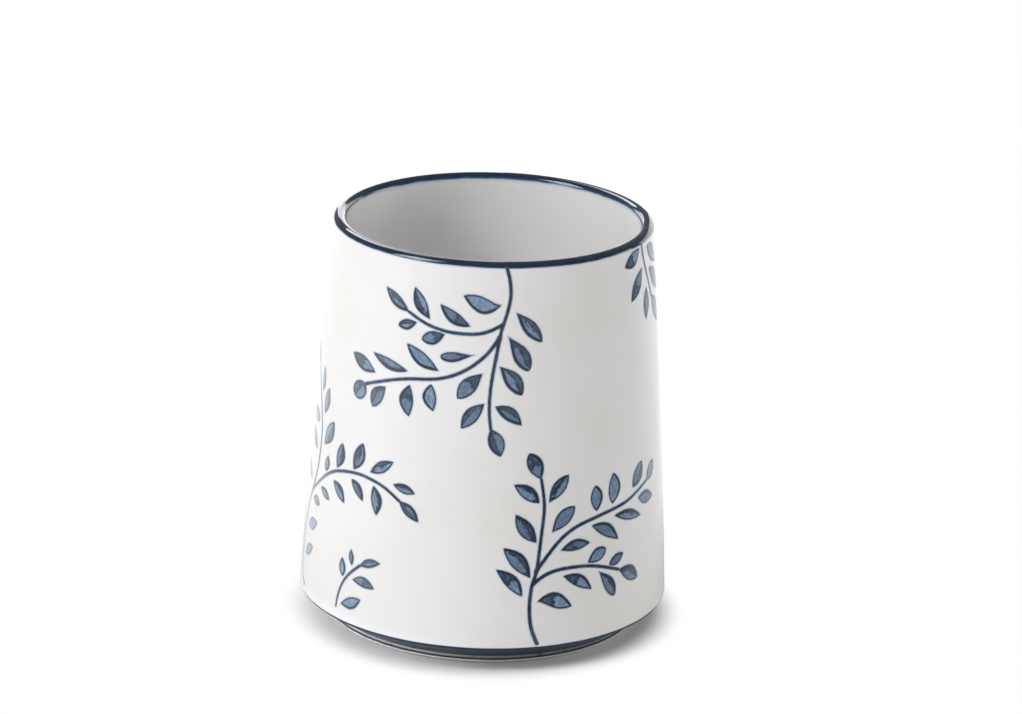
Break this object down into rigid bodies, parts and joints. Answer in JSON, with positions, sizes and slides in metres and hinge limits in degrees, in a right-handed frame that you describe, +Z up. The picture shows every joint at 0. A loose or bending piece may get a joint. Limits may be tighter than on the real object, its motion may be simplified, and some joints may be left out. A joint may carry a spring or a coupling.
{
  "type": "pen holder",
  "caption": "Tapered round porcelain desk cup for pens, open at the top, with dark glaze bands round its lip and undercut foot.",
  "frame": {"origin": "on the cup's axis, on the surface that its pads stand on", "axes": "+Z up along the axis, out of the open mouth; +Y away from the side that the picture shows"},
  "size_m": [0.0896, 0.0896, 0.1],
  "materials": {
    "white_glaze": "glossy transparent glaze over white porcelain, with painted blue leaf sprigs",
    "navy_glaze": "glossy dark blue glaze",
    "clear_rubber": "soft translucent anti-slip pad"
  },
  "bodies": {
    "root": {"porcelain_body": "white_glaze", "rim_band": "navy_glaze", "foot_band": "navy_glaze", "pad_1": "clear_rubber", "pad_2": "clear_rubber", "pad_3": "clear_rubber", "pad_4": "clear_rubber"}
  },
  "joints": []
}
